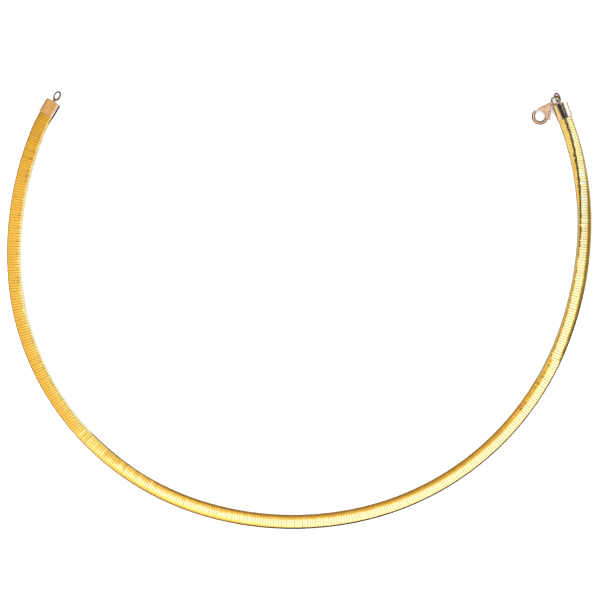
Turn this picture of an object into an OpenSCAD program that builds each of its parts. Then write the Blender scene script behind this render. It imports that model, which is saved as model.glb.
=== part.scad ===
// Omega necklace lying open on a flat surface, as taken off and laid down.
// The plates' turned edges rest at z = 0, the domed face is up and the neck side is inward.
// The origin is on the surface, under the middle of the whole necklace.

/* [Band] */
// Width of the row of plates
band_w = 5; // [4.6:0.1:5.4]
// Height of the row's crown above the surface
band_h = 1.9; // [1.85:0.05:2.1]
// Radius of the shoulders at both edges of the dome
shoulder_r = 0.8; // [0.7:0.05:0.85]
// Height of the middle of the shoulders
shoulder_z = 0.9; // [0.8:0.05:0.95]
// Radius of the turned edge under each side
turn_r = 0.5; // [0.4:0.05:0.5]
// Thickness of a plate's metal
plate_t = 0.3; // [0.2:0.05:0.3]
// Width of the open channel along the back
channel_w = 2.2; // [1.6:0.1:3]

/* [Woven core] */
// Width of the woven strip inside the plates
core_w = 4; // [3.6:0.1:4]
// Thickness of the woven strip
core_t = 0.9; // [0.7:0.05:0.9]
// Height of the strip's underside above the surface
core_z = 0.37; // [0.35:0.01:0.4]
// Length of strip held inside each end cap
core_in = 3; // [1:0.5:4]

/* [End caps] */
// Length of an end cap
cap_l = 5.5; // [5:0.1:6]
// Width of an end cap
cap_w = 5.4; // [5.2:0.1:5.6]
// Height of an end cap
cap_h = 2.2; // [2.1:0.05:2.3]
// Thickness of a cap's sides and top
cap_wall = 0.4; // [0.3:0.05:0.45]
// Thickness of a cap's bottom
cap_floor = 0.25; // [0.2:0.05:0.28]
// Thickness of the closed end of a cap
cap_end = 0.5; // [0.4:0.1:1]
// Gap between the plates and a cap's mouth
cap_gap = 0.1; // [0.05:0.05:0.2]

/* [Soldered rings] */
// Radius of a cap's ring to the middle of its wire
ring_r = 1.55; // [1.5:0.05:1.6]
// Thickness of the ring's wire
ring_wire = 0.6; // [0.5:0.05:0.6]
// Distance from the cap's end to the middle of the ring
ring_ahead = 2.28; // [2.2:0.02:2.4]
// Height of the middle of the ring
ring_z = 1.7; // [1.66:0.01:1.74]
// Roll of the right cap's ring
right_roll = 52; // [50:1:54]
// Roll of the left cap's ring
left_roll = 60; // [45:1:60]
// Thickness of the soldered stem between cap and ring
stem_d = 0.72; // [0.6:0.02:0.8]

/* [Clasp] */
// Radius of the clasp's eye to the middle of its rim
eye_r = 1.45; // [1.4:0.05:1.5]
// Thickness of the eye's rim
eye_wire = 0.72; // [0.6:0.02:0.72]
// Roll of the eye against the claw
eye_roll = 28; // [26:1:30]
// Radius of the claw's hook to the middle of its wire
hook_r = 2.35; // [2.3:0.05:2.4]
// Thickness of the hook's wire
hook_wire = 1.2; // [1.1:0.05:1.25]
// Distance from the eye to the middle of the hook
hook_x = 7.7; // [7.6:0.05:7.8]
// Thickness of the claw's body
claw_t = 1.9; // [1.8:0.05:2]
// Height of the slot that the lever turns in
slot_t = 0.84; // [0.8:0.02:0.9]
// Thickness of the lever inside the slot
lever_t = 0.64; // [0.5:0.02:0.66]
// Thickness of the lever's gate and thumb tab outside the slot
tab_t = 1.3; // [1:0.1:1.5]
// Diameter of the lever's pin
pin_d = 0.7; // [0.6:0.02:0.76]

/* [Hidden] */
$fn = 48;
cut = 0.1;

// The band runs clockwise from the right end to the left end through tangent bends.
// Columns are the radius of the bend's middle line and the angle that it turns through.
radius = 0;
turn = 1;
bends = [
  [106, 8],
  [100, 15],
  [117, 20],
  [99, 54],
  [109, 32],
  [94, 46],
  [90, 22],
  [114, 26],
  [42, 9]
];
start_point = [93.65, 67.48];
start_heading = -69;

// Heading, start and centre of each bend
function heading(i) = i == 0 ? start_heading : heading(i - 1) - bends[i - 1][turn];
function inward(a) = [sin(a), -cos(a)];
function bend_start(i) = i == 0 ? start_point : bend_centre(i - 1) - bends[i - 1][radius] * inward(heading(i));
function bend_centre(i) = bend_start(i) + bends[i][radius] * inward(heading(i));

// Stations along the bends, each a point and a heading
bend_step = 5;
function station(i, part) =
  let (a = heading(i) - part * bends[i][turn]) [bend_centre(i) - bends[i][radius] * inward(a), a];
function stations() = concat(
  [for (i = [0 : len(bends) - 1])
    let (steps = ceil(bends[i][turn] / bend_step))
    for (j = [0 : steps - 1]) station(i, j / steps)],
  [station(len(bends) - 1, 1)]
);
function ahead(place, distance) =
  [place[0] + distance * [cos(place[1]), sin(place[1])], place[1]];

// Outlines across the band, from its middle, with the outer side of the collar positive
corner_steps = 2;
shoulder_steps = 3;
crown_steps = 5;
function arc(c, r, from, to, steps) =
  [for (i = [0 : steps]) let (a = from + (to - from) * i / steps) c + r * [cos(a), sin(a)]];
function inside(list) = [for (i = [1 : len(list) - 2]) list[i]];
function backwards(list) = [for (i = [len(list) - 1 : -1 : 0]) list[i]];

// Radius of the crown that is tangent to both shoulders
function crown_r(w, h, sr, sz) =
  let (c = w / 2 - sr, rise = h - sz) (c * c + rise * rise - sr * sr) / (2 * (rise - sr));

// Dome from its left turned edge over the crown to its right one, set inwards by t
function dome(w, h, sr, sz, t) =
  let (r = crown_r(w, h, sr, sz), c = w / 2 - sr, lean = asin(c / (r - sr)))
  concat(
    arc([-c, sz], sr - t, 180, 90 + lean, shoulder_steps),
    inside(arc([0, h - r], r - t, 90 + lean, 90 - lean, crown_steps)),
    arc([c, sz], sr - t, 90 - lean, 0, shoulder_steps)
  );

// The same dome with its turned edges and the flat stretches under them
function wrap(t) =
  let (c = band_w / 2 - turn_r)
  concat(
    [[-channel_w / 2, t]],
    arc([-c, turn_r], turn_r - t, 270, 180, corner_steps),
    dome(band_w, band_h, shoulder_r, shoulder_z, t),
    arc([c, turn_r], turn_r - t, 0, -90, corner_steps),
    [[channel_w / 2, t]]
  );

function plate_section() = concat(wrap(0), backwards(wrap(plate_t)));

function core_section() =
  let (r = core_t / 2, c = core_w / 2 - r)
  concat(
    arc([-c, core_z + r], r, 270, 90, 2 * corner_steps),
    arc([c, core_z + r], r, 90, -90, 2 * corner_steps)
  );

// Carries a section, listed over the top from its inner side, through a row of stations
module sweep(section, places) {
  n = len(section);
  last = len(places) - 1;
  points = [for (place = places) for (p = section)
    let (flat = place[0] - p.x * inward(place[1])) [flat.x, flat.y, p.y]];
  sides = [for (k = [0 : last - 1]) for (j = [0 : n - 1])
    let (next = (j + 1) % n)
    [k * n + j, k * n + next, (k + 1) * n + next, (k + 1) * n + j]];
  first_end = [for (j = [n - 1 : -1 : 0]) j];
  last_end = [for (j = [0 : n - 1]) last * n + j];
  polyhedron(points, concat(sides, [first_end, last_end]));
}

// Frame at each end of the plates, with x pointing out of the band
module at_right_end() {
  translate(start_point)
    rotate(start_heading + 180)
      children();
}

module at_left_end() {
  place = station(len(bends) - 1, 1);
  translate(place[0])
    rotate(place[1])
      children();
}

// Stands a section up at x = from and carries it straight to x = to
module straight(from, to) {
  translate([from, 0, 0])
    rotate([90, 0, 90])
      linear_extrude(to - from)
        children();
}

module mesh_core() {
  places = stations();
  held_right = ahead(places[0], -core_in);
  held_left = ahead(places[len(places) - 1], core_in);
  color([0.62, 0.45, 0.16])
    sweep(core_section(), concat([held_right], places, [held_left]));
}

module plate_row() {
  color([0.93, 0.72, 0.28])
    sweep(plate_section(), stations());
}

// Outline across an end cap, and the hollow inside it
cap_shoulder_r = 0.7;
cap_shoulder_z = 1.4;
cap_corner_r = 0.3;
cap_end_r = 0.8;
module cap_section() {
  c = cap_w / 2 - cap_corner_r;
  polygon(concat(
    arc([-c, cap_corner_r], cap_corner_r, 270, 180, corner_steps),
    dome(cap_w, cap_h, cap_shoulder_r, cap_shoulder_z, 0),
    arc([c, cap_corner_r], cap_corner_r, 0, -90, corner_steps)
  ));
}

module cap_hollow_section() {
  c = cap_w / 2 - cap_wall;
  polygon(concat(
    [[-c, cap_floor]],
    dome(cap_w, cap_h, cap_shoulder_r, cap_shoulder_z, cap_wall),
    [[c, cap_floor]]
  ));
}

// Plan of a cap with round corners at its closed end
module cap_plan(mouth, end) {
  c = cap_w / 2 - cap_end_r;
  polygon(concat(
    [[mouth, -cap_w / 2]],
    arc([end - cap_end_r, -c], cap_end_r, -90, 0, 4),
    arc([end - cap_end_r, c], cap_end_r, 0, 90, 4),
    [[mouth, cap_w / 2]]
  ));
}

// Hollow cap with its soldered ring, from the end of the plates outwards
module end_cap(roll) {
  mouth = cap_gap;
  end = mouth + cap_l;
  difference() {
    intersection() {
      straight(mouth, end) cap_section();
      translate([0, 0, -cut]) linear_extrude(cap_h + 2 * cut) cap_plan(mouth, end);
    }
    straight(mouth - cut, end - cap_end) cap_hollow_section();
  }
  translate([end, 0, ring_z]) {
    translate([-cap_end / 2, 0, 0])
      rotate([0, 90, 0])
        cylinder(d = stem_d, h = cap_end / 2 + ring_ahead - ring_r);
    translate([ring_ahead, 0, 0])
      rotate([roll, 0, 0])
        rotate_extrude()
          translate([ring_r, 0])
            circle(d = ring_wire);
  }
}

module end_cap_right() {
  color([0.9, 0.72, 0.45])
    at_right_end() end_cap(right_roll);
}

module end_cap_left() {
  color([0.85, 0.6, 0.42])
    at_left_end() end_cap(left_roll);
}

// The clasp's eye hangs on the right cap's ring and lies over its near side.
// Its frame has x from the eye to the hook and y to the side of the thumb tab.
eye_back = 0.77;
eye_side = 1.15;
eye_z = 2.33;
clasp_turn = 115;
clasp_pitch = 9.4;
module at_clasp() {
  at_right_end()
    translate([cap_gap + cap_l + ring_ahead - eye_back, eye_side, eye_z])
      rotate([0, clasp_pitch, clasp_turn])
        children();
}

// Lever pin, and the reach of the gate and of the slot round it
pivot = [4.35, -1.05];
gate_reach = 3.3;
nose_reach = 3.42;
slot_reach = 2.55;
slot_start = 2.45;
pin_play = 0.05;
pin_seat = 0.02;

// Hook of round wire from its nose at one side round to the body
nose_angle = -99;
nose_end = -60;
hook_end = 150;
module hook_wire_arc(from, to) {
  translate([hook_x, 0, 0])
    rotate(from)
      rotate_extrude(angle = to - from)
        translate([hook_r, 0])
          circle(d = hook_wire);
}

module hook() {
  hook_wire_arc(nose_end, hook_end);
  difference() {
    hook_wire_arc(nose_angle, nose_end);
    translate([pivot.x, pivot.y, -claw_t])
      cylinder(r = nose_reach, h = 2 * claw_t);
  }
}

// Body between the eye and the hook, with a bay on one side for the thumb tab
module claw_outline() {
  polygon([
    [1.25, -0.7],
    [1.8, -0.86],
    [4.37, -1.8],
    [5.25, -2.19],
    [5.96, -2.3],
    [6, -1.8],
    [5.8, 0.7],
    [6.35, 1.15],
    [6.95, 1.95],
    [6.6, 2.5],
    [6.15, 2.48],
    [3.75, 0.55],
    [2.25, 0.8],
    [1.8, 0.68],
    [1.25, 0.6]
  ]);
}

module clasp_body() {
  color([0.88, 0.64, 0.46])
    at_clasp() {
      rotate([eye_roll, 0, 0])
        rotate_extrude()
          translate([eye_r, 0])
            circle(d = eye_wire);
      difference() {
        translate([0, 0, -claw_t / 2])
          linear_extrude(claw_t)
            claw_outline();
        clasp_slot();
        translate([pivot.x, pivot.y, -claw_t])
          cylinder(d = pin_d + 2 * pin_seat, h = 2 * claw_t);
        clasp_neck_cuts();
      }
      hook();
    }
}

// Slot round the pin, which leaves the neck whole
module clasp_slot() {
  intersection() {
    translate([pivot.x, pivot.y, -slot_t / 2])
      cylinder(r = slot_reach, h = slot_t);
    translate([slot_start, -4, -claw_t])
      cube([8, 8, 2 * claw_t]);
  }
}

// Thins the neck above and below towards the eye
neck_x = 2.1;
neck_t = 0.7;
module clasp_neck_cuts() {
  for (side = [0, 1])
    mirror([0, 0, side])
      translate([0, -2, neck_t / 2])
        cube([neck_x, 4, claw_t]);
}

// Lever in three parts, which are the hub with both arms, the gate and the thumb tab
module lever_plate_outline() {
  translate(pivot) circle(r = 0.7);
  polygon([
    [4.35, -1.72],
    [5.3, -2.14],
    [6.3, -2.36],
    [6.3, -1.9],
    [5.2, -1.2],
    [4.9, -0.6],
    [4.5, 1.12],
    [4, 1.5],
    [3.3, 0.95],
    [3.7, -0.9]
  ]);
}

module gate_outline() {
  intersection() {
    translate(pivot) circle(r = gate_reach, $fn = 96);
    polygon([
      [6.12, -2.4],
      [8, -2.4],
      [8, -1.8],
      [6.12, -1.85]
    ]);
  }
}

module tab_outline() {
  polygon([
    [4.15, 1.06],
    [6.15, 2.72],
    [6.46, 3.35],
    [6.06, 3.67],
    [5.7, 3.1],
    [4.72, 2.36],
    [3.65, 1.45]
  ]);
}

module slab(t) {
  translate([0, 0, -t / 2])
    linear_extrude(t)
      children();
}

module lever() {
  difference() {
    union() {
      slab(lever_t) lever_plate_outline();
      slab(tab_t) gate_outline();
      slab(tab_t) tab_outline();
    }
    translate([pivot.x, pivot.y, -claw_t])
      cylinder(d = pin_d + 2 * pin_play, h = 2 * claw_t);
  }
}

module clasp_lever() {
  color([0.84, 0.6, 0.42])
    at_clasp()
      lever();
}

module clasp_pin() {
  color([0.8, 0.58, 0.4])
    at_clasp()
      translate([pivot.x, pivot.y, -claw_t / 2])
        cylinder(d = pin_d, h = claw_t);
}

mesh_core();
plate_row();
end_cap_right();
end_cap_left();
clasp_body();
clasp_lever();
clasp_pin();
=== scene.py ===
"""Omega necklace, laid down open on a pale surface.

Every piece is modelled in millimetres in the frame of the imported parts, then scaled to metres.
"""

import math
import random
from types import SimpleNamespace

import bmesh
import bpy
import numpy as np
from mathutils import Matrix, Vector


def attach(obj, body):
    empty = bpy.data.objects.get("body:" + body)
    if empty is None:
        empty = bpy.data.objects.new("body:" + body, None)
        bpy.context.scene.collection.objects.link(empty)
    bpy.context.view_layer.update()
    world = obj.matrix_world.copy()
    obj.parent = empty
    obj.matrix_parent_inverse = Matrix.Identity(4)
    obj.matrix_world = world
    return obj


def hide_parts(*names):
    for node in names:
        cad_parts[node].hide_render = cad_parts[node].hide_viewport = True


bl_info = {
    "name": "Omega Necklace",
    "version": (1, 0, 0),
    "blender": (4, 5, 0),
    "location": "3D View > Sidebar > Necklace",
    "description": "Builds the plates, woven core, end caps, clasp and stage of an omega necklace",
    "category": "Object",
}

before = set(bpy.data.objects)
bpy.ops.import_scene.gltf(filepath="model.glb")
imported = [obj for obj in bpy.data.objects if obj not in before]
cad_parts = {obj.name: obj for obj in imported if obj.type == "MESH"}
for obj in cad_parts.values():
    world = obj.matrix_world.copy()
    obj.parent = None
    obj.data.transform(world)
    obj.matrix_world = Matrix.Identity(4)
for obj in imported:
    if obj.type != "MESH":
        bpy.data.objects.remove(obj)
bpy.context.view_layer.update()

MM = 0.001
# Distance in mm within which two points count as one
NEAR = 1e-4

# Middle line of the band, clockwise from the right end: radius in mm and turn in degrees
BENDS = (
    (106, 8),
    (100, 15),
    (117, 20),
    (99, 54),
    (109, 32),
    (94, 46),
    (90, 22),
    (114, 26),
    (42, 9),
)
BAND_START = (93.65, 67.48)
BAND_HEADING = -69

# Slight twist that the worn band has where it lies: place in mm and lean outwards in degrees
TWIST = (
    (0, 0.5),
    (6, 1.2),
    (15, 5),
    (25, 8.7),
    (33, 11),
    (45, 12),
    (60, 11),
    (87, 9),
    (88, 3.2),
    (120, 3.7),
    (175, 5.2),
    (205, 6.4),
    (245, 8),
    (260, 9),
    (300, 7),
    (327, 6.7),
    (328, 3.1),
    (345, 4.8),
    (380, 6.9),
    (404, 8.5),
)
# Part of the lean that the plates themselves have; the rest is only in how they are shaded
FOOT_LEAN = 0.3
# Distance in mm that the plates are set inwards, so that leaning ones stay in the band's box
PLATE_INSET = 0.07
# Steps in a plate's turned edge, shoulder and crown, on its outer and its inner side
OUTER_STEPS = (2, 3, 6)
INNER_STEPS = (1, 1, 2)
# Seed of the small differences between the plates
SEED = 17
# Height of the floor in metres, just clear of the turned edges
FLOOR_LEVEL = -1e-5
# Middle of the camera's view across and along the necklace, in metres
VIEW_MIDDLE = (0.00026, 0.00361)


def metres(name, description, default):
    """Length that a user can change, in metres"""
    return bpy.props.FloatProperty(name=name, description=description, default=default, unit="LENGTH")


def colour_property(name, description, default):
    """Colour that a user can change"""
    return bpy.props.FloatVectorProperty(
        name=name, description=description, default=default, size=3, subtype="COLOR", min=0, max=1
    )


class BandSettings(bpy.types.PropertyGroup):
    """Sizes and colours of the row of plates"""

    width: metres("Width", "Width of the plates across the band", 0.005)
    height: metres("Height", "Height of the crown above the surface", 0.0019)
    shoulder: metres("Shoulder", "Radius of both shoulders of the dome", 0.0008)
    shoulder_height: metres("Shoulder Height", "Height of the middle of the shoulders", 0.0009)
    turn: metres("Turned Edge", "Radius of the turned edges", 0.0005)
    metal: metres("Metal", "Thickness of a plate's metal", 0.0003)
    channel: metres("Channel", "Width of the open channel at the back", 0.0022)
    count: bpy.props.IntProperty(name="Plates", description="Number of plates", default=438, min=2)
    gap: metres("Gap", "Gap between two plates", 0.000024)
    edge: metres("Edge", "Width of the rounding along a plate's edges", 0.00007)
    looseness: bpy.props.FloatProperty(
        name="Looseness", description="How far single plates lean", default=0.35, min=0, max=2
    )
    colour: colour_property("Colour", "Colour of the polished plates", (0.92, 0.71, 0.215))


class CoreSettings(bpy.types.PropertyGroup):
    """Sizes and colour of the woven strip"""

    width: metres("Width", "Width of the strip", 0.004)
    height: metres("Thickness", "Thickness of the strip", 0.0009)
    rise: metres("Rise", "Height of the strip's underside", 0.00037)
    held: metres("Held Length", "Length held in each cap", 0.003)
    coils: bpy.props.IntProperty(name="Coils", description="Coils side by side", default=4, min=1)
    pitch: metres("Pitch", "Length of one turn of a coil", 0.0006)
    wire: metres("Wire", "Thickness of the wire", 0.00026)
    colour: colour_property("Colour", "Colour of the satin wire", (0.62, 0.42, 0.15))


class CapSettings(bpy.types.PropertyGroup):
    """Sizes and colours of the end caps and their rings"""

    length: metres("Length", "Length of a cap", 0.0055)
    width: metres("Width", "Width of a cap", 0.0054)
    height: metres("Height", "Height of a cap", 0.0022)
    shoulder: metres("Shoulder", "Radius of the shoulders", 0.0007)
    shoulder_height: metres("Shoulder Height", "Height of the middle of the shoulders", 0.0014)
    wall: metres("Wall", "Thickness of the sides and top", 0.0004)
    floor: metres("Floor", "Thickness of the bottom", 0.00025)
    end: metres("End", "Thickness of the closed end", 0.0005)
    gap: metres("Gap", "Gap between plates and cap", 0.0001)
    corner: metres("Corner", "Radius of the closed end's corners", 0.0008)
    foot: metres("Foot", "Radius of the lower edges", 0.0003)
    ring: metres("Ring", "Radius of the ring", 0.00155)
    ring_wire: metres("Ring Wire", "Thickness of the ring's wire", 0.0006)
    ring_ahead: metres("Ring Ahead", "Distance from the cap to the middle of the ring", 0.00228)
    ring_height: metres("Ring Height", "Height of the ring's middle", 0.0017)
    stem: metres("Stem", "Thickness of the soldered stem", 0.00072)
    # The right cap's pale, nearly white colour is a painted highlight
    colour_right_highlight: colour_property("Right Colour", "Colour of the right cap", (0.93, 0.83, 0.79))
    # The rings' dark brown colour is painted shade
    colour_ring_shade: colour_property(
        "Ring Colour", "Colour of the rings, darkened by soldering", (0.36, 0.22, 0.12)
    )
    colour_left: colour_property("Left Colour", "Colour of the left cap", (0.77, 0.56, 0.4))


class ClaspSettings(bpy.types.PropertyGroup):
    """Sizes and colour of the claw clasp"""

    eye: metres("Eye", "Radius of the eye", 0.00145)
    eye_wire: metres("Eye Rim", "Thickness of the eye's rim", 0.00072)
    hook: metres("Hook", "Radius of the hook", 0.00235)
    hook_wire: metres("Hook Wire", "Thickness of the hook", 0.0012)
    thickness: metres("Thickness", "Thickness of the body", 0.0019)
    neck: metres("Neck", "Thickness of the neck", 0.0007)
    slot: metres("Slot", "Height of the lever's slot", 0.00084)
    lever: metres("Lever", "Thickness of the lever in the slot", 0.00064)
    tab: metres("Tab", "Thickness of the gate and thumb tab", 0.0013)
    pin: metres("Pin", "Thickness of the lever's pin", 0.0007)
    grain: metres("Grain", "Size of the grid that softens the casting", 0.00006)
    colour: colour_property("Colour", "Colour of the cast clasp", (0.68, 0.48, 0.3))


class StageSettings(bpy.types.PropertyGroup):
    """Camera and surroundings"""

    camera_height: metres("Camera Height", "Height of the camera", 0.75)
    view_width: metres("View Width", "Width that the camera sees", 0.2115)
    brightness: bpy.props.FloatProperty(
        name="Brightness", description="Brightness of the white surroundings", default=2.2, min=0
    )
    floor_size: metres("Floor", "Length of the floor's sides", 6)


def in_mm(group):
    """Values of a property group, with its lengths in millimetres"""
    values = {}
    for key in type(group).__annotations__:
        value = getattr(group, key)
        if group.bl_rna.properties[key].unit == "LENGTH":
            value = value / MM
        values[key] = value
    return SimpleNamespace(**values)


def turn(degrees, axis):
    """Rotation about an axis of the frame"""
    return Matrix.Rotation(math.radians(degrees), 4, axis)


def arc(centre, radius, start, stop, steps):
    """Points on an arc between two angles in degrees, both included"""
    angles = [math.radians(start + (stop - start) * i / steps) for i in range(steps + 1)]
    return [(centre[0] + radius * math.cos(a), centre[1] + radius * math.sin(a)) for a in angles]


def dome(width, height, shoulder, shoulder_height, inset, shoulder_steps, crown_steps):
    """Dome across the band from its left side over the crown to its right side"""
    c = width / 2 - shoulder
    rise = height - shoulder_height
    crown = (c * c + rise * rise - shoulder * shoulder) / (2 * (rise - shoulder))
    lean = math.degrees(math.asin(c / (crown - shoulder)))
    left = arc((-c, shoulder_height), shoulder - inset, 180, 90 + lean, shoulder_steps)
    top = arc((0, height - crown), crown - inset, 90 + lean, 90 - lean, crown_steps)
    right = arc((c, shoulder_height), shoulder - inset, 90 - lean, 0, shoulder_steps)
    return left + top[1:-1] + right


class Band:
    """Middle line of the band, which lays points at a place along, across and above it"""

    def __init__(self):
        starts, headings, centres, radii = [0.0], [math.radians(BAND_HEADING)], [], []
        point = np.array(BAND_START)
        for radius, degrees in BENDS:
            heading = headings[-1]
            centre = point + radius * self.inward(heading)
            headings.append(heading - math.radians(degrees))
            starts.append(starts[-1] + radius * math.radians(degrees))
            point = centre - radius * self.inward(headings[-1])
            centres.append(centre)
            radii.append(radius)
        self.starts = np.array(starts)
        self.headings = np.array(headings)
        self.centres = np.array(centres)
        self.radii = np.array(radii)
        self.length = starts[-1]
        self.end = point

    @staticmethod
    def inward(heading):
        """Direction to the inside of the collar at a heading"""
        return np.array([np.sin(heading), -np.cos(heading)])

    def lay(self, along, across, height):
        """Points in space for arrays of places along, across and above the band"""
        held = np.clip(along, 0, self.length)
        bend = np.clip(np.searchsorted(self.starts, held, side="right") - 1, 0, len(BENDS) - 1)
        heading = self.headings[bend] - (held - self.starts[bend]) / self.radii[bend]
        inward = self.inward(heading).T
        reach = (self.radii[bend] + across)[:, None]
        past = (along - held)[:, None]
        forward = np.stack([np.cos(heading), np.sin(heading)], axis=1)
        flat = self.centres[bend] - reach * inward + past * forward
        return np.column_stack([flat, height])

    def facing(self, along, directions):
        """Directions in space for directions along, across and above the band at one place"""
        origin, ahead, outward = self.lay(
            np.array((along, along + 0.01, along)), np.array((0, 0, 1)), np.zeros(3)
        )
        ahead = (ahead - origin) / np.linalg.norm(ahead - origin)
        x, y, z = directions.T
        faced = np.outer(x, ahead) + np.outer(y, outward - origin)
        faced[:, 2] = z
        return faced

    def right_end(self):
        """Frame at the right end, with x pointing out of the band"""
        heading = Matrix.Rotation(self.headings[0] + math.pi, 4, "Z")
        return Matrix.Translation((*BAND_START, 0)) @ heading

    def left_end(self):
        """Frame at the left end, with x pointing out of the band"""
        heading = Matrix.Rotation(self.headings[-1], 4, "Z")
        return Matrix.Translation((*self.end, 0)) @ heading


BAND = Band()


def add_object(name, mesh):
    """Puts a mesh in the scene as an object at the origin"""
    obj = bpy.data.objects.new(name, mesh)
    bpy.context.scene.collection.objects.link(obj)
    return obj


def add_values(mesh, name, values):
    """Stores a number for each point of a mesh, which its material reads"""
    layer = mesh.attributes.new(name, "FLOAT", "POINT")
    layer.data.foreach_set("value", values)


def as_object(bm, name):
    """Closes a bmesh, turns its normals outwards and puts it in the scene"""
    bmesh.ops.recalc_face_normals(bm, faces=bm.faces)
    mesh = bpy.data.meshes.new(name)
    bm.to_mesh(mesh)
    bm.free()
    return add_object(name, mesh)


def bake(obj):
    """Applies an object's modifiers to its mesh"""
    graph = bpy.context.evaluated_depsgraph_get()
    mesh = bpy.data.meshes.new_from_object(obj.evaluated_get(graph))
    old = obj.data
    obj.modifiers.clear()
    obj.data = mesh
    bpy.data.meshes.remove(old)
    mesh.name = obj.name


def join(obj, others):
    """Adds the meshes of other objects to an object"""
    bm = bmesh.new()
    for part in (obj, *others):
        bm.from_mesh(part.data)
    bm.to_mesh(obj.data)
    bm.free()
    for part in others:
        bpy.data.objects.remove(part)


def combine(obj, tool, operation):
    """Unites two closed solids, keeps what they share, or cuts one out of the other"""
    modifier = obj.modifiers.new("combine", "BOOLEAN")
    modifier.object = tool
    modifier.operation = operation
    modifier.solver = "EXACT"
    bake(obj)
    bpy.data.objects.remove(tool)
    if not obj.data.polygons:
        raise RuntimeError(f"{obj.name} came out empty")


def pull(bm, made, vec):
    """Moves the points that an extrusion made"""
    moved = [v for v in made["geom"] if isinstance(v, bmesh.types.BMVert)]
    bmesh.ops.translate(bm, verts=moved, vec=vec)


def spin(bm, degrees, steps):
    """Turns everything in a bmesh about z, and joins the ends of a full turn"""
    bmesh.ops.spin(
        bm,
        geom=[*bm.verts, *bm.edges, *bm.faces],
        cent=(0, 0, 0),
        axis=(0, 0, 1),
        angle=math.radians(degrees),
        steps=steps,
        use_merge=degrees >= 360,
        use_duplicate=False,
    )


def bevel(bm, edges, width, segments):
    """Rounds edges"""
    bmesh.ops.bevel(
        bm,
        geom=edges,
        offset=width,
        offset_type="OFFSET",
        segments=segments,
        profile=0.5,
        affect="EDGES",
        clamp_overlap=True,
        material=-1,
    )


def prism(name, outline, bottom, top):
    """Solid between two heights with the outline as its plan"""
    bm = bmesh.new()
    face = bm.faces.new([bm.verts.new((x, y, bottom)) for x, y in outline])
    pull(bm, bmesh.ops.extrude_face_region(bm, geom=[face]), (0, 0, top - bottom))
    return as_object(bm, name)


def upright(name, section, start, stop):
    """Solid along x with the section standing across it"""
    obj = prism(name, section, start, stop)
    obj.data.transform(Matrix(((0, 0, 1, 0), (1, 0, 0, 0), (0, 1, 0, 0), (0, 0, 0, 1))))
    return obj


def cylinder(name, centre, radius, height, segments=64):
    """Upright cylinder about a centre"""
    bm = bmesh.new()
    bmesh.ops.create_cone(
        bm, cap_ends=True, segments=segments, radius1=radius, radius2=radius, depth=height
    )
    bmesh.ops.translate(bm, verts=bm.verts, vec=(*centre, 0))
    return as_object(bm, name)


def torus(name, radius, wire, start=0, stop=360, steps=64, sides=24):
    """Round wire along a circle, or along a part of it with closed ends"""
    bm = bmesh.new()
    place = turn(start, "Z") @ Matrix.Translation((radius, 0, 0)) @ turn(90, "X")
    closed = stop - start < 360
    bmesh.ops.create_circle(bm, cap_ends=closed, segments=sides, radius=wire / 2, matrix=place)
    spin(bm, stop - start, steps)
    return as_object(bm, name)


def lathe(name, profile, steps=48):
    """Solid turned about z from radius and height pairs that start and end on the axis"""
    bm = bmesh.new()
    verts = [bm.verts.new((radius, 0, height)) for radius, height in profile]
    for pair in zip(verts, verts[1:]):
        bm.edges.new(pair)
    spin(bm, 360, steps)
    bmesh.ops.remove_doubles(bm, verts=bm.verts, dist=NEAR)
    return as_object(bm, name)


def round_edges(obj, width, segments, angle=35):
    """Rounds the sharp edges of a solid"""
    bm = bmesh.new()
    bm.from_mesh(obj.data)
    bmesh.ops.dissolve_degenerate(bm, edges=bm.edges, dist=NEAR)
    limit = math.radians(angle)
    sharp = [e for e in bm.edges if e.is_manifold and e.calc_face_angle() > limit]
    bevel(bm, sharp, width, segments)
    bm.to_mesh(obj.data)
    bm.free()


def cast(obj, grain, smoothing):
    """Melts overlapping solids into one with soft edges, as cast metal has"""
    remesh = obj.modifiers.new("melt", "REMESH")
    remesh.mode = "VOXEL"
    remesh.voxel_size = grain
    smooth = obj.modifiers.new("soften", "SMOOTH")
    smooth.factor = 0.5
    smooth.iterations = smoothing
    bake(obj)


def settle(obj, place, material, body, node, angle=35):
    """Puts a piece at its place in metres, with its shading, material, body and node"""
    obj.data.transform(Matrix.Scale(MM, 4) @ place)
    obj.data.shade_smooth()
    obj.data.set_sharp_from_angle(angle=math.radians(angle))
    obj.data.materials.append(material)
    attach(obj, body)
    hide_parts(node)


def new_material(name):
    """Material with an empty node tree"""
    material = bpy.data.materials.new(name)
    return material, emptied(material)


def emptied(owner):
    """Node tree of a material or world, with nothing in it"""
    owner.use_nodes = True
    owner.node_tree.nodes.clear()
    return owner.node_tree


def node(tree, kind, inputs=None, **settings):
    """Adds a shader node, with its settings and with values or links in its inputs"""
    made = tree.nodes.new(kind)
    for key, value in settings.items():
        setattr(made, key, value)
    for key, value in (inputs or {}).items():
        if isinstance(value, bpy.types.NodeSocket):
            tree.links.new(value, made.inputs[key])
        else:
            made.inputs[key].default_value = value
    return made


def math_node(tree, operation, *values):
    """Result of a sum, product or other operation on numbers or links"""
    return node(tree, "ShaderNodeMath", dict(enumerate(values)), operation=operation).outputs[0]


def times(tree, first, second):
    """Product of two numbers or links"""
    return math_node(tree, "MULTIPLY", first, second)


def ramp(tree, value, low, high, out_low=0.0, out_high=1.0):
    """Smooth step of a value between two levels"""
    made = node(
        tree,
        "ShaderNodeMapRange",
        {"Value": value, "From Min": low, "From Max": high, "To Min": out_low, "To Max": out_high},
        interpolation_type="SMOOTHSTEP",
    )
    return made.outputs["Result"]


def mix_colour(tree, factor, first, second):
    """Blend from one colour to another by a factor"""
    made = node(tree, "ShaderNodeMix", {"Factor": factor, "A": first, "B": second}, data_type="RGBA")
    return made.outputs[2]


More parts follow.
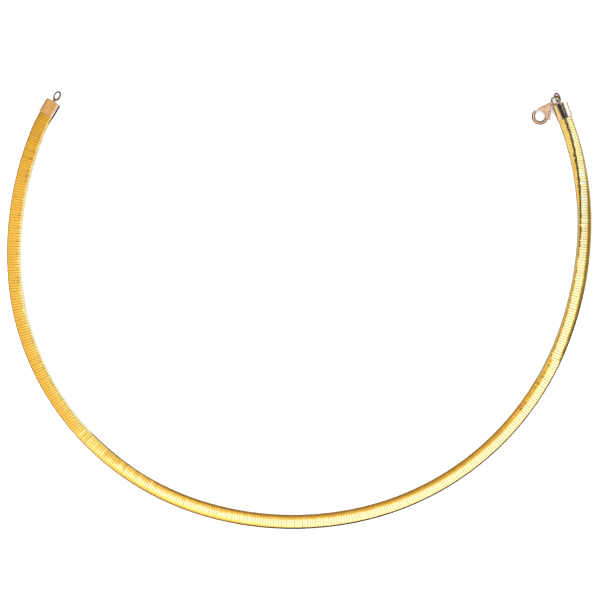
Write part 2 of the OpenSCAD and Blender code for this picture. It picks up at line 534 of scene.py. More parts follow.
def mapped(tree, source, scale):
    """Place in a pattern, stretched along each axis"""
    made = node(tree, "ShaderNodeMapping", {"Vector": source, "Scale": scale})
    return made.outputs[0]


def noise(tree, vector, scale, detail=3.0, roughness=0.5):
    """Soft random pattern"""
    made = node(
        tree,
        "ShaderNodeTexNoise",
        {"Vector": vector, "Scale": scale, "Detail": detail, "Roughness": roughness},
    )
    return made.outputs["Fac"]


def colour(rgb, shade=1.0):
    """Colour for a shader's socket, darker or brighter by a factor"""
    return (*[min(1.0, channel * shade) for channel in rgb], 1.0)


def finish_metal(tree, tone, rough, relief, depth, height):
    """Ends a tree with a metal shader that has a tone, a roughness and a fine relief"""
    bump = node(tree, "ShaderNodeBump", {"Strength": relief, "Distance": depth, "Height": height})
    shader = node(
        tree,
        "ShaderNodeBsdfPrincipled",
        {"Base Color": tone, "Metallic": 1.0, "Roughness": rough, "Normal": bump.outputs[0]},
    )
    node(tree, "ShaderNodeOutputMaterial", {"Surface": shader.outputs[0]})


def metal(name, rgb, dull, roughness, wear, grain, painted_side_shade=1.0):
    """Metal with dulled patches, fine scratches, a soft grain and maybe painted shade on its steep
    sides
    """
    material, tree = new_material(name)
    place = mapped(tree, node(tree, "ShaderNodeTexCoord").outputs["Object"], (1000, 1000, 1000))
    patches = noise(tree, place, 0.7, 4.0, 0.6)
    specks = noise(tree, place, 9.0, 3.0, 0.6)
    slanted = mapped(tree, place, (1.2, 14, 3))
    scratches = noise(tree, slanted, 1.6, 5.0, 0.7)
    lines = ramp(tree, scratches, 0.56, 0.7)
    tone = mix_colour(tree, ramp(tree, patches, 0.35, 0.75), colour(rgb), colour(rgb, dull))
    # Painted shade on the steep sides
    if painted_side_shade < 1:
        steep = node(tree, "ShaderNodeAttribute", attribute_name="painted_side_shade").outputs["Fac"]
        tone = mix_colour(tree, ramp(tree, steep, 0.05, 0.4), tone, colour(rgb, painted_side_shade))
    rough = math_node(tree, "MULTIPLY_ADD", lines, wear, roughness)
    rough = math_node(tree, "ADD", rough, times(tree, specks, wear * 0.5))
    height = math_node(tree, "ADD", specks, times(tree, lines, 0.6))
    finish_metal(tree, tone, rough, grain, 4e-6, height)
    return material


# Painted highlights at the right end and on the lower left's inner half; painted shade at the left end
RIGHT_END_HIGHLIGHT_GOLD = (0.95, 0.93, 0.52, 1)
INNER_HIGHLIGHT_GOLD = (0.94, 0.98, 0.53, 1)
LEFT_END_SHADE_GOLD = (0.81, 0.56, 0.108, 1)
# Tones of handled patches, of the darkest plates and of the rougher edges beside the gaps, whose brown
# is painted shade
HANDLED_GOLD = (0.9, 0.62, 0.22, 1)
DARK_GOLD = (0.86, 0.58, 0.2, 1)
GAP_SHADE_BROWN = (0.4, 0.24, 0.08, 1)
# Where along the band the painted highlight on the inner half comes and goes, in mm, with the levels
# there
INNER_HIGHLIGHT_STRETCHES = ((265, 288, 0, 1), (292, 312, 1, 0.5), (335, 365, 1, 0))


def plate_metal(band):
    """Polished plates, each with its own tone, with painted highlights and painted shade along the band
    and rougher edges with painted shade beside the gaps
    """
    material, tree = new_material("polished_plates")
    uv = node(tree, "ShaderNodeUVMap", uv_map="band").outputs[0]
    tone = node(tree, "ShaderNodeAttribute", attribute_name="plate_tone").outputs["Fac"]
    edge = node(tree, "ShaderNodeAttribute", attribute_name="plate_edge").outputs["Fac"]
    patches = noise(tree, mapped(tree, uv, (0.12, 0.5, 1)), 1.0, 4.0, 0.55)
    scratches = noise(tree, mapped(tree, uv, (9, 1.1, 1)), 2.0, 5.0, 0.7)
    lines = ramp(tree, scratches, 0.57, 0.7)
    specks = noise(tree, mapped(tree, uv, (7, 7, 1)), 2.0, 3.0, 0.6)
    along, across = node(tree, "ShaderNodeSeparateXYZ", {0: uv}).outputs[:2]
    # Painted highlight towards the band's right end
    painted_light_gold = mix_colour(tree, ramp(tree, along, 8, 45), RIGHT_END_HIGHLIGHT_GOLD, colour(band.colour))
    crown = profile_steps(band)[1][-1] / 2
    # Painted highlight on the inner half, in the stretches given above
    pale = ramp(tree, across, crown - 1.5, crown + 0.8, 1.0, 0.0)
    for start, stop, low, high in INNER_HIGHLIGHT_STRETCHES:
        pale = times(tree, pale, ramp(tree, along, start, stop, low, high))
    painted_light_gold = mix_colour(tree, pale, painted_light_gold, INNER_HIGHLIGHT_GOLD)
    # Painted shade towards the band's left end
    painted_light_gold = mix_colour(tree, ramp(tree, along, 362, 400), painted_light_gold, LEFT_END_SHADE_GOLD)
    handled = times(tree, ramp(tree, patches, 0.35, 0.7), 0.5)
    base = mix_colour(tree, handled, painted_light_gold, HANDLED_GOLD)
    base = mix_colour(tree, times(tree, tone, 0.2), base, DARK_GOLD)
    # Painted shade on the plates' edges beside the gaps
    base = mix_colour(tree, times(tree, edge, 0.35), base, GAP_SHADE_BROWN)
    rough = math_node(tree, "MULTIPLY_ADD", lines, 0.12, 0.06)
    rough = math_node(tree, "ADD", rough, times(tree, tone, 0.05))
    rough = math_node(tree, "ADD", rough, times(tree, edge, 0.2))
    height = math_node(tree, "ADD", specks, times(tree, lines, 0.5))
    finish_metal(tree, base, rough, 0.35, 3e-6, height)
    return material


def plate_profile(band, inset, steps):
    """Outline of a plate from one lip under the band over its crown to the other lip"""
    turn_steps, shoulder_steps, crown_steps = steps
    c = band.width / 2 - band.turn
    sizes = (band.width, band.height, band.shoulder, band.shoulder_height)
    return [
        (-band.channel / 2, inset),
        *arc((-c, band.turn), band.turn - inset, 270, 180, turn_steps),
        *dome(*sizes, inset, shoulder_steps, crown_steps),
        *arc((c, band.turn), band.turn - inset, 0, -90, turn_steps),
        (band.channel / 2, inset),
    ]


def profile_steps(band):
    """Outer outline of a plate, and how far along it each of its points lies"""
    profile = np.array(plate_profile(band, 0, OUTER_STEPS))
    return profile, np.r_[0, np.cumsum(np.linalg.norm(np.diff(profile, axis=0), axis=1))]


def single_plate(band):
    """One plate along x, folded from its crown to both lips, with rounded outer edges"""
    length = BAND.length / band.count - band.gap
    outer = plate_profile(band, 0, OUTER_STEPS)
    inner = plate_profile(band, band.metal, INNER_STEPS)[::-1]
    bm = bmesh.new()
    ring = [bm.verts.new((-length / 2, y, z)) for y, z in outer + inner]
    face = bm.faces.new(ring)
    pull(bm, bmesh.ops.extrude_face_region(bm, geom=[face]), (length, 0, 0))
    shell = {(round(y, 5), round(z, 5)) for y, z in outer}

    def on_rim(edge):
        """Whether an edge lies along the outer rim of either end"""
        a, b = edge.verts
        same_end = abs(a.co.x - b.co.x) < NEAR
        return same_end and all((round(v.co.y, 5), round(v.co.z, 5)) in shell for v in (a, b))

    bevel(bm, [edge for edge in bm.edges if on_rim(edge)], band.edge, 1)
    bmesh.ops.remove_doubles(bm, verts=bm.verts, dist=NEAR)
    bmesh.ops.recalc_face_normals(bm, faces=bm.faces)
    return bm, length


def twist(along):
    """Roll of the band at a place along it"""
    places, rolls = zip(*TWIST)
    return np.interp(along, places, rolls)


def nearest_place(points, profile):
    """Index of the profile's point that is nearest to each point"""
    profile = np.array(profile)
    return np.argmin(np.linalg.norm(points[:, None] - profile[None], axis=2), axis=1)


def corner_directions(bm, band, length):
    """Direction that the surface faces at each corner of a plate's faces"""
    outer = np.array(plate_profile(band, 0, OUTER_STEPS))
    inner = np.array(plate_profile(band, band.metal, INNER_STEPS))
    depth = 0.1
    facing_out = (outer - np.array(plate_profile(band, depth, OUTER_STEPS))) / depth
    facing_in = (np.array(plate_profile(band, band.metal + depth, INNER_STEPS)) - inner) / depth
    places = np.concatenate([outer, inner])
    facing = np.concatenate([facing_out, facing_in])
    directions = []
    for face in bm.faces:
        spots = np.array([v.co for v in face.verts])
        across = facing[nearest_place(spots[:, 1:], places)]
        flat = abs(face.normal.x) > 0.95 or abs(across @ np.array(face.normal)[1:]).max() < 0.3
        for spot, (y, z) in zip(spots, across):
            if flat:
                directions.append(face.normal)
            elif abs(face.normal.x) > 0.1:
                slope = 1.2 if abs(spot[0]) > length / 2 - NEAR else 0.5
                directions.append(Vector((math.copysign(slope, spot[0]), y, z)).normalized())
            else:
                directions.append((0, y, z))
    return np.array(directions)


def turned(points, lean, roll):
    """Points or directions turned along the band by one angle and across it by another"""
    x, y, z = points.T
    x, z = x * math.cos(lean) + z * math.sin(lean), z * math.cos(lean) - x * math.sin(lean)
    y, z = y * math.cos(roll) + z * math.sin(roll), z * math.cos(roll) - y * math.sin(roll)
    return np.column_stack([x, y, z])


def build_plates(band):
    """All plates of the band in one mesh"""
    bm, length = single_plate(band)
    bm.verts.index_update()
    shape = np.array([v.co for v in bm.verts])
    faces = [[v.index for v in face.verts] for face in bm.faces]
    directions = corner_directions(bm, band, length)
    bm.free()
    profile, steps = profile_steps(band)
    across = steps[nearest_place(shape[:, 1:], profile)]
    edges = (np.abs(shape[:, 0]) > length / 2 - NEAR).astype(float)
    foot = np.array((0, band.width / 2 - band.turn, 0))
    crown = np.array((0, 0, band.height / 2))
    rng = random.Random(SEED)
    pitch = BAND.length / band.count
    points, normals, tones, uvs = [], [], [], []
    for index in range(band.count):
        middle = (index + 0.5) * pitch
        lean = math.radians(rng.gauss(0, band.looseness * 2))
        loose = rng.gauss(0, band.looseness)
        roll = math.radians(FOOT_LEAN * twist(middle) + loose)
        placed = turned(shape - crown, lean, 0) + crown
        placed = turned(placed - foot, 0, roll) + foot
        placed[:, 1] -= math.sin(roll) * band.shoulder_height + PLATE_INSET
        placed[:, 2] -= min(0.0, placed[:, 2].min())
        x, y, z = placed.T
        points.append(BAND.lay(middle + x, y, z))
        seen = turned(directions, lean, math.radians(twist(middle) + loose))
        normals.append(BAND.facing(middle, seen))
        tones.append(np.full(len(shape), rng.random()))
        uvs.append(np.column_stack([middle + shape[:, 0], across]))
    points = np.concatenate(points) * MM
    count = len(shape)
    all_faces = [[v + count * i for v in face] for i in range(band.count) for face in faces]
    mesh = bpy.data.meshes.new("plates")
    mesh.from_pydata(points, [], all_faces)
    mesh.shade_smooth()
    layer = mesh.uv_layers.new(name="band")
    corners = np.empty(len(mesh.loops), dtype=np.int32)
    mesh.loops.foreach_get("vertex_index", corners)
    layer.data.foreach_set("uv", np.concatenate(uvs)[corners].ravel())
    add_values(mesh, "plate_tone", np.concatenate(tones))
    add_values(mesh, "plate_edge", np.tile(edges, band.count))
    mesh.normals_split_custom_set(np.concatenate(normals))
    return add_object("plates", mesh)


# How far neighbouring coils reach into each other, and the turn in radians from one to the next
COIL_OVERLAP = 1.16
COIL_SHIFT = 0.9
POINTS_PER_TURN = 7


def build_core(core):
    """Strip of interlocking flat coils of wire"""
    curve = bpy.data.curves.new("woven_core", "CURVE")
    curve.dimensions = "3D"
    curve.bevel_depth = core.wire / 2 * MM
    curve.bevel_resolution = 0
    curve.use_fill_caps = True
    length = BAND.length + 2 * core.held
    spacing = (core.width - core.wire) / core.coils
    half_width = spacing / 2 * COIL_OVERLAP
    half_height = (core.height - core.wire) / 2
    turns = int(length / core.pitch)
    steps = np.arange(turns * POINTS_PER_TURN + 1)
    along = -core.held + steps / POINTS_PER_TURN * core.pitch
    for index in range(core.coils):
        middle = (index - (core.coils - 1) / 2) * spacing
        reach = min(half_width, (core.width - core.wire) / 2 - abs(middle))
        hand = 1 if index % 2 else -1
        angle = hand * steps / POINTS_PER_TURN * math.tau + index * COIL_SHIFT
        across = middle + reach * np.cos(angle)
        height = core.rise + core.height / 2 + half_height * np.sin(angle)
        points = BAND.lay(along, across, height) * MM
        spline = curve.splines.new("POLY")
        spline.points.add(len(points) - 1)
        spline.points.foreach_set("co", np.column_stack([points, np.ones(len(points))]).ravel())
    obj = bpy.data.objects.new("woven_core", curve)
    bpy.context.scene.collection.objects.link(obj)
    return obj


# Width in mm of the caps' worn edges
CAP_EDGE = 0.09
# Turned stem: radius as a part of the stem's own, and place as a part of its length
STEM_TAPER = ((0.96, 0.6), (1, 0.85), (0.9, 1))
# Solder at the foot of the stem: radius as a part of the stem's own, and place in mm
SOLDER = ((1.45, 0.03), (1.15, 0.12), (1, 0.25))
# Radius of the stem inside the cap's wall, as a part of the stem's own
STEM_ROOT = 1.5


def build_cap(name, cap, roll):
    """Hollow cap with its soldered stem and ring, from the end of the plates outwards"""
    mouth = cap.gap
    end = mouth + cap.length
    sizes = (cap.width, cap.height, cap.shoulder, cap.shoulder_height)
    foot = cap.width / 2 - cap.foot
    section = [
        *arc((-foot, cap.foot), cap.foot, 270, 180, 4),
        *dome(*sizes, 0, 8, 16),
        *arc((foot, cap.foot), cap.foot, 0, -90, 4),
    ]
    side = cap.width / 2 - cap.wall
    hollow = [(-side, cap.floor), *dome(*sizes, cap.wall, 6, 8), (side, cap.floor)]
    c = cap.width / 2 - cap.corner
    plan = [
        (mouth, -cap.width / 2),
        *arc((end - cap.corner, -c), cap.corner, -90, 0, 10),
        *arc((end - cap.corner, c), cap.corner, 0, 90, 10),
        (mouth, cap.width / 2),
    ]
    shell = upright(name, section, mouth, end)
    combine(shell, prism("plan", plan, -1, cap.height + 1), "INTERSECT")
    combine(shell, upright("hollow", hollow, mouth - 1, end - cap.end), "DIFFERENCE")
    round_edges(shell, CAP_EDGE, 2)
    reach = cap.ring_ahead - cap.ring
    neck = cap.stem / 2
    profile = [(0, -cap.end / 2), (neck * STEM_ROOT, -cap.end / 2)]
    profile += [(neck * part, place) for part, place in SOLDER]
    profile += [(neck * part, reach * place) for part, place in STEM_TAPER]
    stem = lathe("stem", [*profile, (0, reach)])
    stem.data.transform(Matrix.Translation((end, 0, cap.ring_height)) @ turn(90, "Y"))
    ring = torus("ring", cap.ring, cap.ring_wire)
    middle = Matrix.Translation((end + cap.ring_ahead, 0, cap.ring_height))
    ring.data.transform(middle @ turn(roll, "X"))
    combine(shell, stem, "UNION")
    combine(shell, ring, "UNION")
    return shell


def tag_ring(obj, cap):
    """Gives the faces beyond a cap's closed end the second material, of the ring"""
    limit = cap.gap + cap.length + 0.02
    for face in obj.data.polygons:
        face.material_index = 1 if face.center.x > limit else 0


def add_painted_side_shade(obj):
    """Marks the steep sides of a piece, where painted shade darkens the metal while its top stays
    bright
    """
    add_values(obj.data, "painted_side_shade", [1 - abs(point.normal.z) for point in obj.data.vertices])


def even_shading(obj):
    """Lets the large faces of a piece decide how the edges between them are shaded"""
    weighted = obj.modifiers.new("even", "WEIGHTED_NORMAL")
    weighted.keep_sharp = True
    bake(obj)


# Middle of the clasp's eye, out from and beside the right ring's middle and above the surface
EYE_PLACE = (-0.77, 1.15, 2.33)
# Turn and tilt of the clasp, and roll of its eye, in degrees
CLASP_TURN = 115
CLASP_PITCH = 9.4
EYE_ROLL = 28
# Places in the clasp's own frame in mm, with x from the eye to the hook
PIVOT = (4.35, -1.05)
HOOK_X = 7.7
NECK_X = 2.1
SLOT_START = 2.45
# Start and stop of the hook and of its nose, in degrees about the hook's middle
HOOK_ARC = (-60, 150)
NOSE_ARC = (-99, -58)
# Radii about the pivot of the slot, of the hub, of the gate's end and of the cut in the nose
SLOT_RADIUS = 2.55
HUB_RADIUS = 0.7
GATE_RADIUS = 3.3
NOSE_RADIUS = 3.42
# Room round the pin in the body and in the lever
PIN_ROOM = 0.02
LEVER_ROOM = 0.05
# Width of the rounding along the claw's edges
CLAW_EDGE = 0.28
# Height of the tools that cut right through the clasp
CUT = 4
CLAW_OUTLINE = (
    (1.25, -0.7), (1.8, -0.86), (4.37, -1.8), (5.25, -2.19), (5.96, -2.3),
    (6, -1.8), (5.8, 0.7), (6.35, 1.15), (6.95, 1.95), (6.6, 2.5),
    (6.15, 2.48), (3.75, 0.55), (2.25, 0.8), (1.8, 0.68), (1.25, 0.6),
)
LEVER_OUTLINE = (
    (4.35, -1.72), (5.3, -2.14), (6.3, -2.36), (6.3, -1.9), (5.2, -1.2),
    (4.9, -0.6), (4.5, 1.12), (4, 1.5), (3.3, 0.95), (3.7, -0.9),
)
GATE_OUTLINE = ((6.12, -2.4), (8, -2.4), (8, -1.8), (6.12, -1.85))
TAB_OUTLINE = (
    (4.15, 1.06), (6.15, 2.72), (6.46, 3.35), (6.06, 3.67),
    (5.7, 3.1), (4.72, 2.36), (3.65, 1.45),
)


def clasp_place(cap):
    """Frame of the clasp, which hangs on the right cap's ring"""
    x, y, z = EYE_PLACE
    eye = Matrix.Translation((cap.gap + cap.length + cap.ring_ahead + x, y, z))
    return BAND.right_end() @ eye @ turn(CLASP_TURN, "Z") @ turn(CLASP_PITCH, "Y")


def build_clasp_body(clasp):
    """Eye, neck, slotted body and round hook in one casting"""
    half = clasp.thickness / 2
    body = prism("clasp_casting", CLAW_OUTLINE, -half, half)
    bm = bmesh.new()
    bm.from_mesh(body.data)
    cut = bmesh.ops.bisect_plane(
        bm,
        geom=[*bm.verts, *bm.edges, *bm.faces],
        plane_co=(NECK_X, 0, 0),
        plane_no=(-1, 0, 0),
        clear_outer=True,
    )["geom_cut"]
    bmesh.ops.edgenet_fill(bm, edges=[e for e in cut if isinstance(e, bmesh.types.BMEdge)])
    bmesh.ops.recalc_face_normals(bm, faces=bm.faces)
    bm.to_mesh(body.data)
    bm.free()
    round_edges(body, CLAW_EDGE, 3)
    neck = prism("neck", CLAW_OUTLINE, -clasp.neck / 2, clasp.neck / 2)
    eye = torus("eye", clasp.eye, clasp.eye_wire)
    eye.data.transform(turn(EYE_ROLL, "X"))
    hook = torus("hook", clasp.hook, clasp.hook_wire, *HOOK_ARC, steps=48)
    hook.data.transform(Matrix.Translation((HOOK_X, 0, 0)))
    nose = torus("nose", clasp.hook, clasp.hook_wire, *NOSE_ARC, steps=12)
    nose.data.transform(Matrix.Translation((HOOK_X, 0, 0)))
    combine(nose, cylinder("nose_cut", PIVOT, NOSE_RADIUS, CUT, 128), "DIFFERENCE")
    join(body, [neck, eye, hook, nose])
    cast(body, clasp.grain, smoothing=6)
    slot = cylinder("slot", PIVOT, SLOT_RADIUS, clasp.slot, 96)
    keep = prism("keep", ((SLOT_START, -4), (12, -4), (12, 4), (SLOT_START, 4)), -2, 2)
    combine(slot, keep, "INTERSECT")
    combine(body, slot, "DIFFERENCE")
    combine(body, cylinder("bore", PIVOT, clasp.pin / 2 + PIN_ROOM, CUT), "DIFFERENCE")
    return body


def build_lever(clasp):
    """Lever with its hub, gate and thumb tab"""
    inner, outer = clasp.lever / 2, clasp.tab / 2
    lever = prism("clasp_thumb_lever", LEVER_OUTLINE, -inner, inner)
    hub = cylinder("hub", PIVOT, HUB_RADIUS, clasp.lever)
    gate = prism("gate", GATE_OUTLINE, -outer, outer)
    combine(gate, cylinder("gate_end", PIVOT, GATE_RADIUS, CUT, 128), "INTERSECT")
    tab = prism("tab", TAB_OUTLINE, -outer, outer)
    join(lever, [hub, gate, tab])
    cast(lever, clasp.grain * 0.75, smoothing=5)
    combine(lever, cylinder("lever_bore", PIVOT, clasp.pin / 2 + LEVER_ROOM, CUT), "DIFFERENCE")
    return lever


def build_pin(clasp):
    """Rivet with low domed heads"""
    radius, half = clasp.pin / 2, clasp.thickness / 2
    head = [(0, half), (radius * 0.5, half - 0.01), (radius * 0.85, half - 0.05), (radius, half - 0.12)]
    pin = lathe("clasp_rivet", head + [(r, -z) for r, z in reversed(head)], 32)
    pin.data.transform(Matrix.Translation((*PIVOT, 0)))
    return pin


def floor_material():
    """Pale board with a faint grain"""
    material, tree = new_material("pale_floor")
    place = node(tree, "ShaderNodeTexCoord").outputs["Object"]
    grain = noise(tree, place, 900.0, 3.0, 0.6)
    tone = mix_colour(tree, grain, (0.93, 0.93, 0.925, 1), (0.95, 0.95, 0.945, 1))
    shader = node(tree, "ShaderNodeBsdfDiffuse", {"Color": tone, "Roughness": 0.6})
    node(tree, "ShaderNodeOutputMaterial", {"Surface": shader.outputs[0]})
    return material


def build_world(stage):
    """Soft white surroundings; polished metal sees a bright side, a warm side and dark edges"""
    world = bpy.data.worlds.new("studio")
    bpy.context.scene.world = world
    tree = emptied(world)
    direction = node(tree, "ShaderNodeTexCoord").outputs["Generated"]
    height = node(tree, "ShaderNodeSeparateXYZ", {0: direction}).outputs[2]
    flat = math_node(tree, "SUBTRACT", 1.0001, times(tree, height, height))
    flat = math_node(tree, "SQRT", flat)

    def towards(azimuth):
        """How far a direction points to an azimuth, less so the higher it points"""
        a = math.radians(azimuth)
        made = node(
            tree,
            "ShaderNodeVectorMath",
            {0: direction, 1: (math.cos(a), math.sin(a), 0)},
            operation="DOT_PRODUCT",
        )
        return made.outputs["Value"]

    def around(azimuth):
        """How near a direction's own azimuth is to another, at any height"""
        return math_node(tree, "DIVIDE", towards(azimuth), flat)

    def dimmed(light, mask, rest):
        """Light, with only a part of it left where the mask is"""
        return times(tree, light, ramp(tree, mask, 0.0, 1.0, 1.0, rest))

    # Cool and bright at the front right, warm at the back left, dimmer low down
    side = towards(-55)
    bright = ramp(tree, side, 0.0, 0.16)
    tint = mix_colour(tree, bright, (1.0, 0.76, 0.36, 1), (0.43, 0.54, 1.0, 1))
    round_about = times(tree, bright, ramp(tree, height, 0.63, 0.84, 1.0, 0.0))
    tint = mix_colour(tree, round_about, tint, (1.0, 0.92, 0.78, 1))
    cool = ramp(tree, side, 0.0, 0.16, 0.0, 1.88)
    warm = ramp(tree, side, -0.25, -0.02, 1.06, 1.13)
    level = dimmed(math_node(tree, "ADD", cool, warm), round_about, 0.42)

    # Dimmer and deeper gold towards the back
    back = towards(75)
    level = times(tree, level, ramp(tree, back, 0.0, 0.3, 1.0, 0.62))
    level = times(tree, level, ramp(tree, back, 0.3, 0.7, 1.0, 0.65))
    north = around(100)
    gold = times(tree, ramp(tree, north, 0.68, 0.88), ramp(tree, flat, 0.0, 0.06))
    level = dimmed(level, gold, 0.74)
    tint = mix_colour(tree, times(tree, gold, 0.8), tint, (1.0, 0.69, 0.35, 1))

    # Golden patch at the front left
    left = times(tree, ramp(tree, around(-115), 0.9, 0.97), ramp(tree, flat, 0.5, 0.6))
    left = times(tree, left, ramp(tree, flat, 0.68, 0.78, 1.0, 0.0))
    level = dimmed(level, left, 0.72)
    tint = mix_colour(tree, left, tint, (1.0, 0.83, 0.55, 1))

    # Bright corner at the back right, which fades low down
    corner = times(tree, ramp(tree, around(36), 0.87, 0.96), ramp(tree, flat, 0.09, 0.2))
    tint = mix_colour(tree, corner, tint, (1.0, 0.97, 0.9, 1))
    level = times(tree, level, math_node(tree, "SUBTRACT", 1.0, corner))
    level = math_node(tree, "ADD", level, times(tree, corner, 1.2))
    level = dimmed(level, times(tree, corner, ramp(tree, height, 0.35, 0.6, 1.0, 0.0)), 0.4)

    # Darkness low at the front right, for the dark line along the outer edge of the band
    front = ramp(tree, around(-52), 0.52, 0.85)
    front = times(tree, front, ramp(tree, around(-46), 0.86, 0.97, 1.0, 0.7))
    lift = ramp(tree, around(-20), 0.9, 0.97, 0.0, 0.12)
    lifted = math_node(tree, "ADD", height, lift)
    level = dimmed(level, times(tree, front, ramp(tree, lifted, 0.64, 0.78, 1.0, 0.0)), 0.07)

    # Amber half way up at the right
    east = ramp(tree, around(12), 0.75, 0.88)
    amber = times(tree, east, ramp(tree, height, 0.66, 0.8, 1.0, 0.0))
    amber = times(tree, amber, ramp(tree, height, 0.3, 0.5))
    level = dimmed(level, amber, 0.35)
    tint = mix_colour(tree, amber, tint, (1.0, 0.84, 0.6, 1))

    # Brown dusk low down, but less of it at the right, the left and the back
    west = ramp(tree, around(-170), 0.6, 0.8, 0.0, 0.75)
    west = times(tree, west, ramp(tree, height, -0.15, 0.05))
    low = ramp(tree, height, 0.33, 0.75, 1.0, 0.0)
    for lit in (east, west):
        low = times(tree, low, math_node(tree, "SUBTRACT", 1.0, lit))
    low = times(tree, low, ramp(tree, north, 0.6, 0.85, 1.0, 0.2))
    level = dimmed(level, low, 0.27)
    tint = mix_colour(tree, low, tint, (1.0, 0.68, 0.42, 1))

    glossy = node(tree, "ShaderNodeBackground", {"Color": tint, "Strength": level})
    plain = node(tree, "ShaderNodeBackground", {"Color": (1, 1, 1, 1), "Strength": stage.brightness})
    path = node(tree, "ShaderNodeLightPath")
    chosen = node(
        tree,
        "ShaderNodeMixShader",
        {0: path.outputs["Is Glossy Ray"], 1: plain.outputs[0], 2: glossy.outputs[0]},
    )
    node(tree, "ShaderNodeOutputWorld", {"Surface": chosen.outputs[0]})


def add_card(bm, name, dark, light, fade):
    """Card that only polished metal sees, less bright towards the front of the necklace"""
    card = as_object(bm, name)
    material, tree = new_material(name)
    place = node(tree, "ShaderNodeTexCoord").outputs["Object"]
    tone = mix_colour(tree, noise(tree, place, 40.0), (*dark, 1), (*light, 1))
    along = node(tree, "ShaderNodeSeparateXYZ", {0: place}).outputs[1]
    strength = ramp(tree, along, -0.07, -0.02, fade, 1.0)
    shader = node(tree, "ShaderNodeEmission", {"Color": tone, "Strength": strength})
    node(tree, "ShaderNodeOutputMaterial", {"Surface": shader.outputs[0]})
    card.data.materials.append(material)
    card.visible_camera = False
    card.visible_diffuse = False
    card.visible_shadow = False
    return card


# Distance in mm from the band to the standing cards, and how far they reach below the floor
CARD_ROOM = 15.0
CARD_FOOT = 25.0
CARD_STEPS = 40
# Height in metres of the black card over the right end, and its outline in mm; its slit lets a
# thin bright line through
CARD_HEIGHT = 0.5
BLACK_CARD = (
    (80, 8), (84, -14), (112, -8), (150, 26), (195, 30), (220, 95),
    (206, 125), (206, 175), (169, 175), (169, 117), (161, 117), (161, 175),
    (88, 175), (88, 92), (112, 86), (125, 70), (130, 46), (104, 18),
)


def wall_card(name, start, stop, height, dark, light, fade):
    """Card that stands along the inside of the band between two places"""
    bm = bmesh.new()
    along = np.linspace(start, stop, CARD_STEPS)
    low = np.full(CARD_STEPS, -CARD_FOOT)
    line = BAND.lay(along, np.full(CARD_STEPS, -CARD_ROOM), low) * MM
    verts = [bm.verts.new(point) for point in line]
    edges = [bm.edges.new(pair) for pair in zip(verts, verts[1:])]
    made = bmesh.ops.extrude_edge_only(bm, edges=edges)
    pull(bm, made, (0, 0, (height + CARD_FOOT) * MM))
    return add_card(bm, name, dark, light, fade)


def build_cards():
    """Black card over the right end, a grey one inside the right arm, a white one inside the left"""
    bm = bmesh.new()
    bm.faces.new([bm.verts.new((x * MM, y * MM, CARD_HEIGHT)) for x, y in BLACK_CARD])
    black = add_card(bm, "black_card", (0.02, 0.018, 0.015), (0.05, 0.042, 0.035), fade=1.0)
    look = {"height": 22, "dark": (0.48, 0.54, 0.9), "light": (0.54, 0.6, 1.05), "fade": 1.0}
    grey = wall_card("grey_card", 30, 96, **look)
    look = {"height": 18, "dark": (1.0, 1.15, 1.85), "light": (1.1, 1.25, 2.0), "fade": 0.6}
    white = wall_card("white_card", 283, BAND.length - 2, **look)
    return black, grey, white


class NECKLACE_OT_plates(bpy.types.Operator):
    """Build the row of polished plates"""

    bl_idname = "necklace.plates"
    bl_label = "Plates"

    def execute(self, context):
        band = in_mm(context.scene.necklace_band)
        obj = build_plates(band)
        obj.data.materials.append(plate_metal(band))
        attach(obj, "necklace")
        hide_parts("plate_row")
        return {"FINISHED"}


class NECKLACE_OT_core(bpy.types.Operator):
    """Build the woven strip inside the plates"""

    bl_idname = "necklace.core"
    bl_label = "Woven Core"

    def execute(self, context):
        core = in_mm(context.scene.necklace_core)
        obj = build_core(core)
        wire = metal("woven_wire", core.colour, dull=0.7, roughness=0.28, wear=0.2, grain=0.5)
        obj.data.materials.append(wire)
        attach(obj, "necklace")
        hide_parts("mesh_core")
        return {"FINISHED"}


class NECKLACE_OT_caps(bpy.types.Operator):
    """Build both end caps with their soldered rings"""

    bl_idname = "necklace.caps"
    bl_label = "End Caps"

    def execute(self, context):
        cap = in_mm(context.scene.necklace_cap)
        ends = (
            ("right", BAND.right_end(), cap.colour_right_highlight, 52),
            ("left", BAND.left_end(), cap.colour_left, 60),
        )
        for side, place, rgb, roll in ends:
            name = f"cap_{side}"
            material = metal(f"{name}_metal", rgb, dull=0.88, roughness=0.05, wear=0.08, grain=0.04)
            # Ring wire: painted shade in its dark colour and on its steep sides
            look = {"dull": 1.0, "roughness": 0.24, "wear": 0.12, "grain": 0.1, "painted_side_shade": 0.3}
            wire = metal(f"ring_{side}_metal", cap.colour_ring_shade, **look)
            obj = build_cap(name, cap, roll)
            tag_ring(obj, cap)
            add_painted_side_shade(obj)
            settle(obj, place, material, "necklace", f"end_cap_{side}")
            obj.data.materials.append(wire)
            even_shading(obj)
        return {"FINISHED"}


class NECKLACE_OT_clasp(bpy.types.Operator):
    """Build the claw clasp with its lever and rivet"""

    bl_idname = "necklace.clasp"
    bl_label = "Clasp"

    def execute(self, context):
        clasp = in_mm(context.scene.necklace_clasp)
        place = clasp_place(in_mm(context.scene.necklace_cap))
        # The clasp's steep sides carry painted shade
        look = {"dull": 0.7, "roughness": 0.13, "wear": 0.12, "grain": 0.6, "painted_side_shade": 0.16}
        cast_metal = metal("clasp_cast_metal", clasp.colour, **look)
        look = {"dull": 0.7, "roughness": 0.2, "wear": 0.2, "grain": 0.5}
        pin_metal = metal("clasp_pin_metal", clasp.colour, **look)
        body = build_clasp_body(clasp)
        settle(body, place, cast_metal, "necklace", "clasp_body", 50)
        add_painted_side_shade(body)
        lever = build_lever(clasp)
        settle(lever, place, cast_metal, "lever", "clasp_lever", 50)
        add_painted_side_shade(lever)
        pin = build_pin(clasp)
        settle(pin, place, pin_metal, "necklace", "clasp_pin")
        return {"FINISHED"}


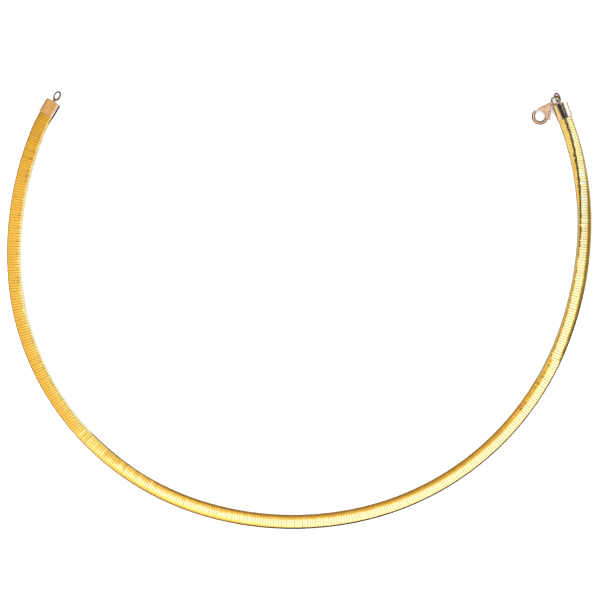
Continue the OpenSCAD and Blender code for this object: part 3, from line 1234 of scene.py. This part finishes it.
class NECKLACE_OT_stage(bpy.types.Operator):
    """Build the floor, the surroundings and the camera"""

    bl_idname = "necklace.stage"
    bl_label = "Stage"

    def execute(self, context):
        stage = context.scene.necklace_stage
        bm = bmesh.new()
        bmesh.ops.create_grid(bm, x_segments=1, y_segments=1, size=stage.floor_size / 2)
        bmesh.ops.translate(bm, verts=bm.verts, vec=(0, 0, FLOOR_LEVEL))
        floor = as_object(bm, "floor")
        floor.data.materials.append(floor_material())
        floor.visible_glossy = False
        build_cards()
        build_world(stage)
        camera = bpy.data.objects.new("camera", bpy.data.cameras.new("camera"))
        context.scene.collection.objects.link(camera)
        camera.data.lens = camera.data.sensor_width * stage.camera_height / stage.view_width
        camera.location = (*VIEW_MIDDLE, stage.camera_height)
        context.scene.camera = camera
        context.scene.view_settings.view_transform = "Standard"
        return {"FINISHED"}


class NECKLACE_PT_build(bpy.types.Panel):
    """Buttons and sizes of the necklace"""

    bl_label = "Omega Necklace"
    bl_space_type = "VIEW_3D"
    bl_region_type = "UI"
    bl_category = "Necklace"

    def draw(self, context):
        for operator, settings, _ in STEPS:
            box = self.layout.box()
            box.operator(operator.bl_idname)
            group = getattr(context.scene, settings)
            for key in type(group).__annotations__:
                box.prop(group, key)


STEPS = (
    (NECKLACE_OT_plates, "necklace_band", BandSettings),
    (NECKLACE_OT_core, "necklace_core", CoreSettings),
    (NECKLACE_OT_caps, "necklace_cap", CapSettings),
    (NECKLACE_OT_clasp, "necklace_clasp", ClaspSettings),
    (NECKLACE_OT_stage, "necklace_stage", StageSettings),
)


def register():
    for operator, settings, group in STEPS:
        bpy.utils.register_class(group)
        setattr(bpy.types.Scene, settings, bpy.props.PointerProperty(type=group))
        bpy.utils.register_class(operator)
    bpy.utils.register_class(NECKLACE_PT_build)


def unregister():
    bpy.utils.unregister_class(NECKLACE_PT_build)
    for operator, settings, group in reversed(STEPS):
        bpy.utils.unregister_class(operator)
        delattr(bpy.types.Scene, settings)
        bpy.utils.unregister_class(group)


def corners(box):
    return [list(corner) for corner in box]


def main():
    """Builds every piece and the stage"""
    register()
    bpy.ops.necklace.plates()
    bpy.ops.necklace.core()
    bpy.ops.necklace.caps()
    bpy.ops.necklace.clasp()
    bpy.ops.necklace.stage()


if __name__ == "__main__":
    main()
